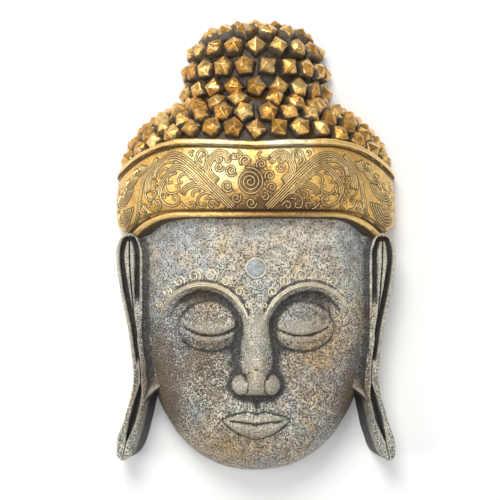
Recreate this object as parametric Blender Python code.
"""A Buddha wall mask, carved in one piece from light wood.

The mask lies on its flat back: +Z is out of the face and +Y to the top of the head.
Everything is in metres. The origin is under the middle of the mask's outline.
"""

import itertools
import math
import random

import bmesh
import bpy
import numpy as np
from mathutils import Matrix, Vector

# Heights, stacked from the chin to the tips of the highest curls
face_height = 0.291  # chin to hairline, in three equal thirds
band_height = 0.081  # in the middle of the headband
cap_height = 0.044  # hair from the band to the topknot
knot_height = 0.0855
curl_height = 0.0145

# Face
face_width = 0.250  # five eyes wide
face_depth = 0.092  # forehead over the back
temple_margin = 0.006  # the head's side stands out this far beyond the face
boss_radius = 0.0112  # the round boss between the brows
boss_height = 0.0050
brow_curl_radius = 0.0056  # little carved curls in a row over each brow
brow_curl_height = 0.0018
brow_curls = 8

# Ears, each with a long lobe
ear_length = 0.255
ear_front = 0.050  # front of the ears over the back
ear_slimness = 9.62  # how many times as long as it stands out beyond the head's side
ear_rim = 0.0036
ear_channel = 0.0062
ear_channel_depth = 0.0085
lobe_slot_length = 0.066
lobe_slot_width = 0.009
lobe_wall_slope = 0.010  # a lobe is this much thicker at the back
ear_overlap = 0.0075  # the top of the ear runs this far in under the band
# down the ear: share of its length, then inner and outer edge as shares of its reach
ear_outline = [
    (0.000, 0.30, 0.42),
    (0.028, 0.00, 0.84),
    (0.098, -0.16, 1.00),
    (0.232, -0.16, 0.84),
    (0.445, -0.16, 0.44),
    (0.642, -0.36, 0.24),
    (0.807, -0.12, 0.60),
    (0.941, 0.24, 0.96),
    (0.980, 0.42, 0.96),
    (1.000, 0.62, 0.80),
]

# Headband
band_stand = 0.010  # how far the band stands out over the forehead
ear_past_band = 0.0005  # the ears stand out this far beyond the side of the band
band_low_drop = 0.027  # how much lower its lower edge is at the sides
band_high_drop = 0.030
band_rim_width = 0.009
band_rim_height = 0.0035
band_swell = 0.0015  # the field between the rims swells this much
band_squareness = 2.35  # 2 is an oval section, more is squarer
scroll_width = 0.0030
scroll_height = 0.0013

# Hair: a cap over the band, and the topknot on it
cap_step = 0.011  # how far the cap lies inside the band
knot_half_width = 0.0755
curl_width = 0.0235
knot_row = 0.0225  # from one row of curls to the next
cap_row = 0.0180
curl_shoulder = 0.55  # share of a curl's height below its blunt point
curl_sides = (4, 5)  # each curl has one of these numbers of sides
curl_sink = 0.0040  # how deep the foot of a curl goes into the hair

# Back: a scooped hollow with these walls, and a hole for a nail
side_wall = 0.031
chin_wall = 0.035
front_wall = 0.028
hollow_length = 0.340
nail_hole_radius = 0.005
nail_hole_depth = 0.018

# Colour of the finish
silver_grey = (0.27, 0.27, 0.26, 1.0)

# Each form starts this far below the flat back, and is cut off there
cut_margin = 0.006

# Fineness of the meshes
head_columns = 96
head_rows = 104
share_kept = 0.105  # of the head's faces, most of them on the features

# Places that follow from the sizes
mask_length = face_height + band_height + cap_height + knot_height + curl_height
chin_y = -mask_length / 2
hairline_y = chin_y + face_height
band_top_y = hairline_y + band_height
cap_top_y = band_top_y + cap_height
knot_top_y = cap_top_y + knot_height
face_third = face_height / 3
eye_width = face_width / 5
nose_base_y = chin_y + face_third
brow_y = nose_base_y + face_third
eye_y = chin_y + 1.75 * face_third
mouth_y = nose_base_y - face_third / 3
cheekbone_y = eye_y + face_third / 4
boss_y = brow_y + 0.40 * face_third
head_side = face_width / 2 + temple_margin
ear_top_y = hairline_y - band_low_drop + ear_overlap
ear_reach = ear_length / ear_slimness
band_side_stand = ear_reach - ear_past_band
band_half_width = head_side + band_side_stand
band_depth = face_depth + band_stand
cap_half_width = band_half_width - cap_step
cap_depth = band_depth - cap_step / 2

# What the carving of the face is measured in
feature = face_height / 278
brow_middle_x = 1.16 * eye_width
brow_foot_y = eye_y - 4 * feature
brow_half_width = 0.96 * eye_width
brow_rise = 46 * feature


def smoothstep(low, high, value):
    """0 before low, 1 after high, and a soft step between them."""
    t = np.clip((value - low) / (high - low), 0, 1)
    return t * t * (3 - 2 * t)


def bump(x, y, centre_x, centre_y, radius_x, radius_y):
    """A soft round bump of height 1; sizes in features."""
    across = (x - centre_x) / (radius_x * feature)
    along = (y - centre_y) / (radius_y * feature)
    return np.exp(-(across**2) - along**2)


def both_bumps(x, y, centre_x, centre_y, radius_x, radius_y):
    """The same bump on the left and on the right."""
    left = bump(x, y, -centre_x, centre_y, radius_x, radius_y)
    return left + bump(x, y, centre_x, centre_y, radius_x, radius_y)


# The face: an egg-shaped head front, with the features as heights on it


def head_half_width(y):
    """Half the width of the head at the back plane."""
    down = np.clip((cheekbone_y - y) / (cheekbone_y - chin_y), 0, 1)
    up = np.clip((y - cheekbone_y) / face_height, 0, 1)
    return head_side * (1 - down**2.25) ** (1 / 2.25) * (1 - 0.12 * up**2)


def head_front(x, y):
    """Height of the plain head, before any feature."""
    down = np.clip((cheekbone_y - y) / (cheekbone_y - chin_y), 0, 1)
    up = np.clip((y - cheekbone_y) / face_height, 0, 1)
    middle = face_depth * (1 - down**6) ** (1 / 2.2) * (1 - 0.10 * up**2)
    across = np.clip(np.abs(x) / np.maximum(head_half_width(y), 1e-6), 0, 1)
    return middle * (1 - across**2.6) ** (1 / 2.3)


def eye_relief(x, y):
    """Arched socket, eyeball and closed lids on both sides, in features."""
    side = np.abs(x)
    reach = np.where(y > brow_foot_y, brow_rise, 1.6 * brow_rise)
    level = np.hypot((side - brow_middle_x) / brow_half_width, (y - brow_foot_y) / reach)
    up = (y - eye_y) / feature
    out = side / eye_width
    fade = smoothstep(-62, 4, up) * (1 - 0.75 * smoothstep(1.45, 2.05, out))
    height = -10.5 * (1 - smoothstep(0.80, 1.0, level)) * fade
    ridge = np.exp(-(((level - 1.03) / 0.05) ** 2)) * smoothstep(-10, 20, up)
    height += 2.2 * ridge * (1 - smoothstep(1.75, 2.1, out))
    ball = ((out - 1) / 0.72) ** 2 + ((up + 3) / np.where(up > -3, 29, 24)) ** 2
    height += 11.5 * np.clip(1 - ball, 0, 1) ** 1.2
    across = 2 * (out - 1)
    over = up + 10 - 6 * across**2
    length = np.sqrt(np.clip(1 - (across / 1.2) ** 2, 0, 1))
    lid = 1.8 * smoothstep(-1.2, 1.2, over) * (1 - smoothstep(4, 22, over))
    crease = 3.2 * np.exp(-((over / 1.7) ** 2))
    lower_lid = 1.2 * np.exp(-(((over + 4.2) / 2.2) ** 2))
    return height + length * (lid - crease + lower_lid)


def nose_relief(x, y):
    """A straight ridge from the brows that widens to a round tip, and two wings, in features."""
    side = np.abs(x) / feature
    down = (brow_y - y) / (brow_y - nose_base_y)
    along = np.clip(down, 0, 1)
    tip = np.clip((down - 0.80) / 0.22, 0, 1)
    start = smoothstep(-0.35, 0.25, down)
    rise = (5.0 + 24.0 * along**1.3) * start * (1 - tip**2.4) ** 0.5
    flat = 5.6 + 3.0 * along**2
    ridge = rise * (1 - smoothstep(0.3 * flat, flat + 10 + 5 * along, side))
    up = (y - nose_base_y) / feature
    wings = 14 * np.clip(1 - ((side - 16) / 9.5) ** 2 - ((up - 9) / 11) ** 2, 0, 1) ** 0.6
    ball = 5 * np.clip(1 - (side / 12) ** 2 - ((up - 13) / 13) ** 2, 0, 1) ** 0.8
    return ridge + ball + np.maximum(wings - 0.4 * ridge, 0)


def mouth_relief(x, y):
    """Closed lips with a soft bow, and the rise that carries them, in features."""
    side = np.abs(x) / feature
    across = np.clip(np.abs(x) / (0.74 * eye_width), 0, 1.3)
    up = (y - mouth_y) / feature - 3.0 * across**2 + 1.2 * np.exp(-((side / 6) ** 2))
    upper = 12.5 * np.clip(1 - across**1.7, 0, 1) - 2.2 * np.exp(-((side / 5.5) ** 2))
    lower = 15.5 * np.clip(1 - across**2.2, 0, 1)
    above = np.clip(up / np.maximum(upper, 0.1), 0, 1)
    below = np.clip(-up / np.maximum(lower, 0.1), 0, 1)
    lips = np.where(up >= 0, 5.2 * (1 - above**2.2) ** 0.8, 6.4 * (1 - below**2.0) ** 0.7)
    height = lips * smoothstep(1.04, 0.80, across)
    height -= 3.8 * smoothstep(1.10, 0.80, across) * np.exp(-((up / 2.1) ** 2))
    height += 7.0 * bump(x, y, 0, mouth_y, 42, 32)
    return height - 1.8 * bump(x, y, 0, nose_base_y - 10 * feature, 3.5, 10)


def chin_and_cheeks(x, y):
    """The rounded chin under its fold, and full cheeks, in features."""
    height = 8.0 * bump(x, y, 0, chin_y + 30 * feature, 30, 20)
    height -= 4.5 * bump(x, y, 0, mouth_y - 24 * feature, 30, 9)
    height += 5.0 * both_bumps(x, y, 62 * feature, nose_base_y + 16 * feature, 36, 42)
    return height - 2.0 * both_bumps(x, y, 37 * feature, nose_base_y - 4 * feature, 11, 24)


def face_front(x, y):
    """Height of the carved face over the flat back."""
    across = np.abs(x) / np.maximum(head_half_width(y), 1e-6)
    shown = np.clip(1 - across**6, 0, 1) * smoothstep(chin_y, chin_y + 20 * feature, y)
    features = eye_relief(x, y) + nose_relief(x, y) + mouth_relief(x, y) + chin_and_cheeks(x, y)
    return head_front(x, y) + features * feature * shown


# Mesh helpers


def finish_object(name, bm, collection):
    """Turns a bmesh into an object with outward faces."""
    bmesh.ops.recalc_face_normals(bm, faces=bm.faces)
    mesh = bpy.data.meshes.new(name)
    bm.to_mesh(mesh)
    bm.free()
    made = bpy.data.objects.new(name, mesh)
    collection.objects.link(made)
    return made


def mapped_grid(columns, rows, place):
    """A grid whose corners are moved to place(u, v), with u and v from 0 to 1."""
    bm = bmesh.new()
    bmesh.ops.create_grid(bm, x_segments=columns, y_segments=rows, size=0.5)
    corners = np.array([vert.co for vert in bm.verts])
    points = np.stack(place(corners[:, 0] + 0.5, corners[:, 1] + 0.5), axis=1)
    for vert, point in zip(bm.verts, points):
        vert.co = point
    bmesh.ops.remove_doubles(bm, verts=bm.verts, dist=1e-6)
    return bm


def loft(name, around, along, place, collection):
    """A closed body with the skin place(u, v): u once round its section, v from end to end."""
    bm = mapped_grid(around, along, place)
    open_edges = [edge for edge in bm.edges if edge.is_boundary]
    bmesh.ops.holes_fill(bm, edges=open_edges, sides=0)
    return finish_object(name, bm, collection)


def arch(angle, squareness):
    """Width and height of a rounded arch at an angle from 0, on the right, to pi."""
    cos, sin = np.cos(angle), np.sin(angle)
    power = 2 / squareness
    return np.sign(cos) * np.abs(cos) ** power, np.sign(sin) * np.abs(sin) ** power


def closed_arch_angle(u, columns):
    """Angles round an arch that dips below the back plane; the last column closes it."""
    dip = 0.05
    share = np.clip(u * columns / (columns - 1), 0, 1)
    return np.where(u > 1 - 0.5 / columns, -dip, share * (math.pi + 2 * dip) - dip)


def surface_frame(surface, across, along):
    """Point on a surface of two numbers, and its outward normal."""
    tiny = 1e-4
    here = Vector(surface(across, along))
    right = Vector(surface(across + tiny, along)) - here
    up = Vector(surface(across, along + tiny)) - here
    return here, right.cross(up).normalized()


def stand_on(bm, point, normal, turn):
    """Moves a form made at the origin onto a surface, turned round the normal."""
    stand = normal.to_track_quat("Z", "Y").to_matrix().to_4x4()
    spin = Matrix.Rotation(turn, 4, "Z")
    bmesh.ops.transform(bm, matrix=Matrix.Translation(point) @ stand @ spin, verts=bm.verts)


# Head and face


def face_surface(x, y):
    return x, y, float(face_front(np.array([x]), np.array([y]))[0])


def make_head(collection):
    """Face, jaw and the skull under band and hair."""
    lower_share = 0.6  # share of the rows below the cheekbones, closer together at the chin

    def place(u, v):
        turn = np.minimum(v / lower_share, 1) * math.pi / 2
        low = cheekbone_y - (cheekbone_y - chin_y) * np.cos(turn)
        top = band_top_y - band_rim_width
        high = cheekbone_y + (top - cheekbone_y) * (v - lower_share) / (1 - lower_share)
        y = np.where(v < lower_share, low, high)
        x = head_half_width(y) * np.sin((u - 0.5) * math.pi)
        return x, y, face_front(x, y)

    bm = mapped_grid(head_columns, head_rows, place)
    rim = [edge for edge in bm.edges if edge.is_boundary]
    for part in bmesh.ops.extrude_edge_only(bm, edges=rim)["geom"]:
        if isinstance(part, bmesh.types.BMVert):
            part.co.z = -cut_margin
    bmesh.ops.holes_fill(bm, edges=[edge for edge in bm.edges if edge.is_boundary], sides=0)
    head = finish_object("buddha_mask", bm, collection)
    fewer = head.modifiers.new("fewer faces", "DECIMATE")
    fewer.ratio = share_kept
    return head


def make_boss(collection):
    """The round boss between the brows."""
    bm = bmesh.new()
    bmesh.ops.create_uvsphere(bm, u_segments=14, v_segments=6, radius=1)
    bmesh.ops.scale(bm, vec=(boss_radius, boss_radius, boss_height), verts=bm.verts)
    point, normal = surface_frame(face_surface, 0.0, boss_y)
    stand_on(bm, point, normal, 0.1)
    finish_object("boss_form", bm, collection)


def brow_curl_places():
    """Middle and radius of each little curl over the right brow, from the nose outward."""
    gap = 1.35 * brow_curl_radius
    for number in range(brow_curls):
        share = number / (brow_curls - 1)
        angle = math.radians(152 - 126 * share)
        radius = brow_curl_radius * (0.62 + 0.38 * math.sin(share * math.pi))
        x = brow_middle_x + (brow_half_width + gap) * math.cos(angle)
        y = brow_foot_y + (brow_rise + gap) * math.sin(angle)
        yield x, y, radius


def make_brow_curls(collection):
    for side in (1, -1):
        for number, (x, y, radius) in enumerate(brow_curl_places()):
            bm = bmesh.new()
            bmesh.ops.create_cone(
                bm,
                cap_ends=True,
                segments=6,
                radius1=radius,
                radius2=0.55 * radius,
                depth=2 * brow_curl_height,
            )
            point, normal = surface_frame(face_surface, side * x, y)
            stand_on(bm, point, normal, 0.2 + number)
            finish_object(f"brow_curl_{number}", bm, collection)


# Ears


def ear_edges(down):
    """Inner and outer edge of the right ear at a share of its length."""
    shares, inner, outer = (np.array(column) for column in zip(*ear_outline))
    near = head_side + ear_reach * np.interp(down, shares, inner)
    return near, head_side + ear_reach * np.interp(down, shares, outer)


def groove(distance, half):
    """1 in the middle of a groove, 0 outside it."""
    return 1 - smoothstep(0.55 * half, 1.15 * half, np.abs(distance))


def ear_depth(from_inner, from_outer, down):
    """How deep the ear is carved below its front."""
    from_top = down * ear_length
    half = ear_channel / 2
    line = ear_rim + half
    outer = groove(np.minimum(from_outer, from_top) - line, half)
    outer = outer * smoothstep(0.585, 0.535, down) * (from_inner > line)
    inner = groove(np.minimum(from_inner, from_top) - line, half)
    inner = inner * smoothstep(0.34, 0.25, down) * (from_outer > line)
    slot_middle = 0.79
    slot_share = (down - slot_middle) * ear_length / (lobe_slot_length / 2)
    slot_half = lobe_slot_width / 2 * np.clip(1 - slot_share**2, 0, 1) ** 0.8
    aside = np.abs(from_inner - from_outer) / 2
    slot = np.clip(1 - aside / np.maximum(slot_half, 1e-5), 0, 1) ** 0.5
    return ear_channel_depth * np.maximum(np.maximum(outer, inner), slot)


def make_ear(side, collection):
    """One ear with its long lobe; side is 1 or -1."""
    # across the ear from its inner wall: share of the width; the two ends are at the back
    across = np.array([0, 0, 0.10, 0.22, 0.33, 0.42, 0.5, 0.58, 0.67, 0.78, 0.9, 1, 1])
    at_back = np.array([1] + [0] * 11 + [1])
    points = len(across)

    def place(u, v):
        index = np.round(u * points).astype(int) % points
        down = (1 + np.cos(v * math.pi)) / 2
        inner, outer = ear_edges(down)
        width = outer - inner
        z = ear_front - ear_depth(across[index] * width, (1 - across[index]) * width, down)
        root = 1.2 * ear_reach * smoothstep(0.74, 0.60, down)
        flare = lobe_wall_slope * at_back[index]
        x = inner + across[index] * width - np.where(across[index] == 0, root + flare, 0)
        return side * x, ear_top_y - down * ear_length, np.where(at_back[index], -cut_margin, z)

    loft("ear_right_form" if side > 0 else "ear_left_form", points, 19, place, collection)


# Headband


def band_edges(wide):
    """Lower and upper edge of the band where it is that share of its half width out."""
    side = np.abs(wide)
    low = hairline_y - band_low_drop * smoothstep(0.66, 1.04, side)
    swell = 0.035 * band_height * np.sin(np.clip(side / 0.55, 0, 1) * math.pi / 2)
    high = band_top_y + swell - band_high_drop * np.clip(2 * side - 1, 0, 1) ** 2
    return low, high


def make_band(collection):
    """A curved strip with a raised rim along each edge."""
    rim = band_rim_width / band_height
    tall = band_rim_height
    # round its section: share of the height, and how far it stands out from the field
    section = [
        (0.0, -3 * band_stand),
        (0.0, -0.2 * band_stand),
        (0.3 * rim, tall),
        (0.8 * rim, tall),
        (1.1 * rim, 0),
        (0.5, band_swell),
        (1 - 1.1 * rim, 0),
        (1 - 0.8 * rim, tall),
        (1 - 0.3 * rim, tall),
        (1.0, -0.2 * band_stand),
        (1.0, -3 * band_stand),
    ]
    shares, stands = (np.array(column) for column in zip(*section))
    points = len(section)

    def place(u, v):
        index = np.round(u * points).astype(int) % points
        wide, high = arch(v * (math.pi + 0.10) - 0.05, band_squareness)
        lower, upper = band_edges(wide)
        tuck = band_side_stand * 0.6 * (1 - smoothstep(0.0, 0.22, shares[index]))
        x = (band_half_width + stands[index] - tuck) * wide
        y = lower + (upper - lower) * shares[index]
        return x, y, (band_depth + stands[index]) * high

    loft("band_form", points, 32, place, collection)


def band_surface(along, share):
    """Point on the band's field: distance along it from the middle, share of its height."""
    angles = np.linspace(0.02, math.pi - 0.02, 240)
    wide, high = arch(angles, band_squareness)
    x, z = band_half_width * wide, band_depth * high
    length = np.concatenate(([0], np.cumsum(np.hypot(np.diff(x), np.diff(z)))))
    angle = np.interp(length[-1] / 2 - along, length, angles)
    wide, high = (float(value) for value in arch(angle, band_squareness))
    lower, upper = (float(value) for value in band_edges(wide))
    swell = band_swell * max(0.0, 1 - abs(share - 0.5) / (0.5 - 1.1 * band_rim_width / band_height))
    x = (band_half_width + swell) * wide
    return x, lower + (upper - lower) * share, (band_depth + swell) * high


def spiral(along, share, radius, turns, start, way):
    """Points of a spiral on the band, from its rim to its middle."""
    steps = round(8 * turns)
    for step in range(steps + 1):
        left = 1 - 0.86 * step / steps
        angle = start + way * math.tau * turns * step / steps
        yield along + radius * left * math.cos(angle), share + radius * left * math.sin(angle) / band_height


def sweep(points, steps):
    """Points of a smooth curve near three or four chosen ones."""
    degree = len(points) - 1
    for step in range(steps + 1):
        t = step / steps
        weights = [math.comb(degree, k) * (1 - t) ** (degree - k) * t**k for k in range(degree + 1)]
        yield tuple(sum(w * point[axis] for w, point in zip(weights, points)) for axis in (0, 1))


def scroll_lines():
    """The main lines of the scrollwork: points along the band and shares of its height."""
    middle = 0.17 * band_height
    yield list(spiral(0, 0.5, middle, 2.2, 0.6, 1))
    for side in (1, -1):
        arm = sweep([(0.018, 0.17), (0.055, 0.80), (0.105, 1.15), (0.112, 0.45)], 7)
        yield [(side * along, share) for along, share in arm]
        arm = sweep([(0.060, 0.84), (0.115, 1.02), (0.158, 0.75), (0.162, 0.25)], 6)
        yield [(side * along, share) for along, share in arm]
        arc = sweep([(0.016, 0.84), (0.062, 0.80), (0.040, 0.34)], 5)
        yield [(side * along, share) for along, share in arc]
        yield list(spiral(side * 0.083, 0.44, 0.85 * middle, 1.7, 1.6, -side))


def make_scrolls(collection):
    """Each line is a low ridge, a wire half sunk in the band."""
    for number, line in enumerate(scroll_lines()):
        curve = bpy.data.curves.new("scroll", "CURVE")
        curve.dimensions = "3D"
        curve.twist_mode = "Z_UP"
        curve.bevel_depth = scroll_width / 2
        curve.bevel_resolution = 0
        curve.use_fill_caps = True
        spline = curve.splines.new("POLY")
        spline.points.add(len(line) - 1)
        for knot, spot in zip(spline.points, line):
            point, normal = surface_frame(band_surface, *spot)
            knot.co = (*(point + normal * (scroll_height - scroll_width / 2)), 1)
        wire = bpy.data.objects.new("scroll", curve)
        collection.objects.link(wire)
        solid = bpy.data.meshes.new_from_object(wire.evaluated_get(bpy.context.evaluated_depsgraph_get()))
        bpy.data.objects.remove(wire)
        bm = bmesh.new()
        bm.from_mesh(solid)
        bmesh.ops.remove_doubles(bm, verts=bm.verts, dist=1e-6)
        finish_object(f"scroll_{number}", bm, collection)


# Hair


def cap_surface(angle, y):
    """Point on the hair cap under the curls."""
    foot = (hairline_y + band_top_y) / 2
    rise = max(0.0, (y - foot) / (0.97 * (cap_top_y - foot) + 0.010))
    wide, high = (float(value) for value in arch(angle, 2.1))
    half = cap_half_width * max(0.0, 1 - rise**2.2) ** (1 / 2.2)
    return half * wide, y, cap_depth * (1 - 0.15 * rise**2) * high


def knot_radius(y):
    """Radius of the topknot under the curls."""
    rise = np.clip((y - cap_top_y) / (knot_top_y - cap_top_y), 0, 1)
    return knot_half_width * (1 - rise**3.4) ** (1 / 3.4)


def make_hair(collection):
    """The smooth bodies that the curls stand on."""
    columns = 18
    cap_foot = band_top_y - band_high_drop - 2 * band_rim_width

    def place_cap(u, v):
        spots = zip(closed_arch_angle(u, columns), cap_foot + v * (cap_top_y - cap_foot))
        return np.array([cap_surface(angle, y) for angle, y in spots]).T

    def place_knot(u, v):
        angle = closed_arch_angle(u, columns)
        share = np.minimum(np.sin(v * math.pi / 2), 0.999)
        y = cap_top_y - knot_row + (knot_height + knot_row) * share
        return knot_radius(y) * np.cos(angle), y, knot_radius(y) * np.sin(angle)

    loft("cap_form", columns, 6, place_cap, collection)
    loft("knot_form", columns, 8, place_knot, collection)


def row_turns(step, shifted, most):
    """Turns from the middle to either side for one row, shifted by half a step or not."""
    turn = 0.5 * step if shifted else 0.0
    while turn < most:
        yield turn
        if turn > 0:
            yield -turn
        turn += step


def knot_curl_places():
    """Rows of curls round the topknot: point and outward normal."""
    heights = np.linspace(cap_top_y, knot_top_y, 300)
    radii = knot_radius(heights)
    arc = np.concatenate(([0], np.cumsum(np.hypot(np.diff(heights), np.diff(radii)))))
    rows = int((arc[-1] - 0.7 * knot_row) / knot_row)
    for row in range(rows + 1):
        along = (row + 0.7) * knot_row
        y, radius = (float(np.interp(along, arc, line)) for line in (heights, radii))
        ahead = float(np.interp(along + 0.002, arc, radii)) - radius
        rise = float(np.interp(along + 0.002, arc, heights)) - y
        for turn in row_turns(curl_width / max(radius, curl_width / 2), row % 2, math.pi / 2):
            outward = Vector((math.sin(turn), 0, math.cos(turn)))
            normal = outward * max(rise, 1e-6) - Vector((0, ahead, 0))
            yield Vector((0, y, 0)) + outward * radius, normal.normalized()


def cap_curl_places():
    """Rows of curls that follow the band's upper edge: point and outward normal."""
    for row in itertools.count():
        path = [cap_curl_spot(angle, row) for angle in np.arange(math.pi / 2, 0.02, -0.01)]
        path = [spot for spot in path if spot is not None]
        if not path:
            return
        steps = [(after[0] - before[0]).length for before, after in zip(path, path[1:])]
        travelled = np.concatenate(([0], np.cumsum(steps)))
        first = curl_width / 2 if row % 2 else 0.0
        for due in np.arange(first, travelled[-1], curl_width):
            point, normal = path[int(np.searchsorted(travelled, due))]
            yield point, normal
            if point.x > curl_width / 4:
                yield point * Vector((-1, 1, 1)), normal * Vector((-1, 1, 1))


def cap_curl_spot(angle, row):
    """Where that row crosses the cap at that angle, with rows evenly spaced over the cap."""
    wide = float(arch(angle, band_squareness)[0])
    start = float(band_edges(wide)[1]) + 0.5 * cap_row
    heights = np.linspace(start, cap_top_y, 60)
    line = np.array([cap_surface(angle, y) for y in heights])
    arc = np.concatenate(([0], np.cumsum(np.linalg.norm(np.diff(line, axis=0), axis=1))))
    along = (row + 0.2) * cap_row
    if along > arc[-1]:
        return None
    point, normal = surface_frame(cap_surface, angle, float(np.interp(along, arc, heights)))
    normal = -normal if normal.z < 0 else normal
    inside_knot = math.hypot(point.x, point.z) < knot_half_width + 0.3 * curl_width
    if inside_knot and point.y > cap_top_y - 0.3 * cap_row:
        return None
    return point, normal


def make_curls(collection):
    """Fat faceted curls: steep sides, and a blunt point that is a little off the middle."""
    chance = random.Random(7)
    places = list(knot_curl_places()) + list(cap_curl_places())
    for number, (point, normal) in enumerate(places):
        bm = bmesh.new()
        body = curl_shoulder * curl_height + curl_sink
        tip = (1 - curl_shoulder) * curl_height
        bmesh.ops.create_cone(
            bm,
            cap_ends=True,
            segments=chance.choice(curl_sides),
            radius1=0.54 * curl_width,
            radius2=0.45 * curl_width,
            depth=body,
        )
        bmesh.ops.translate(bm, vec=(0, 0, body / 2 - curl_sink), verts=bm.verts)
        top = max(bm.faces, key=lambda face: face.calc_center_median().z)
        apex = bmesh.ops.poke(bm, faces=[top], offset=tip)["verts"][0]
        reach = 0.12 * curl_width
        apex.co += Vector((chance.uniform(-reach, reach), chance.uniform(-reach, reach), 0))
        stand_on(bm, point, normal, chance.uniform(0, math.tau))
        finish_object(f"curl_{number}", bm, collection)


# Back


def make_cutters(collection):
    """The hollow, the nail hole and the slab that leaves a flat back."""
    bm = bmesh.new()
    bmesh.ops.create_uvsphere(bm, u_segments=20, v_segments=10, radius=1)
    scale = (head_side - side_wall, hollow_length / 2, face_depth - front_wall)
    bmesh.ops.scale(bm, vec=scale, verts=bm.verts)
    bmesh.ops.translate(bm, vec=(0, chin_y + chin_wall + hollow_length / 2, 0), verts=bm.verts)
    finish_object("hollow_cutter", bm, collection)

    bm = bmesh.new()
    bmesh.ops.create_cone(
        bm,
        cap_ends=True,
        segments=16,
        radius1=nail_hole_radius,
        radius2=nail_hole_radius,
        depth=2 * nail_hole_depth,
    )
    bmesh.ops.translate(bm, vec=(0, cap_top_y + nail_hole_depth, 0), verts=bm.verts)
    finish_object("nail_hole_cutter", bm, collection)

    bm = bmesh.new()
    bmesh.ops.create_cube(bm, size=1)
    bmesh.ops.scale(bm, vec=(2 * mask_length, 2 * mask_length, mask_length), verts=bm.verts)
    bmesh.ops.translate(bm, vec=(0, 0, -mask_length / 2), verts=bm.verts)
    finish_object("floor_cutter", bm, collection)


def wood_finish():
    """Worn silver-grey paint over gold."""
    material = bpy.data.materials.new("silver_grey")
    material.use_nodes = True
    shader = material.node_tree.nodes["Principled BSDF"]
    shader.inputs["Base Color"].default_value = silver_grey
    shader.inputs["Roughness"].default_value = 0.5
    shader.inputs["Metallic"].default_value = 0.2
    return material


def new_collection(name, helpers):
    collection = bpy.data.collections.new(name)
    bpy.context.scene.collection.children.link(collection)
    collection.hide_render = helpers
    return collection


def combine(body, name, operation, collection):
    """Joins or cuts a body with everything in a collection."""
    boolean = body.modifiers.new(name, "BOOLEAN")
    boolean.operation = operation
    boolean.operand_type = "COLLECTION"
    boolean.collection = collection
    boolean.solver = "EXACT"
    for helper in collection.objects:
        helper.hide_render = True
        helper.display_type = "WIRE"


def main():
    for thing in list(bpy.data.objects):
        bpy.data.objects.remove(thing)
    mask = new_collection("buddha mask", False)
    forms = new_collection("forms", True)
    cutters = new_collection("cutters", True)

    head = make_head(mask)
    head.data.materials.append(wood_finish())
    make_boss(forms)
    make_brow_curls(forms)
    make_ear(1, forms)
    make_ear(-1, forms)
    make_band(forms)
    make_scrolls(forms)
    make_hair(forms)
    make_curls(forms)
    make_cutters(cutters)
    combine(head, "join the forms", "UNION", forms)
    combine(head, "hollow and flat back", "DIFFERENCE", cutters)


main()
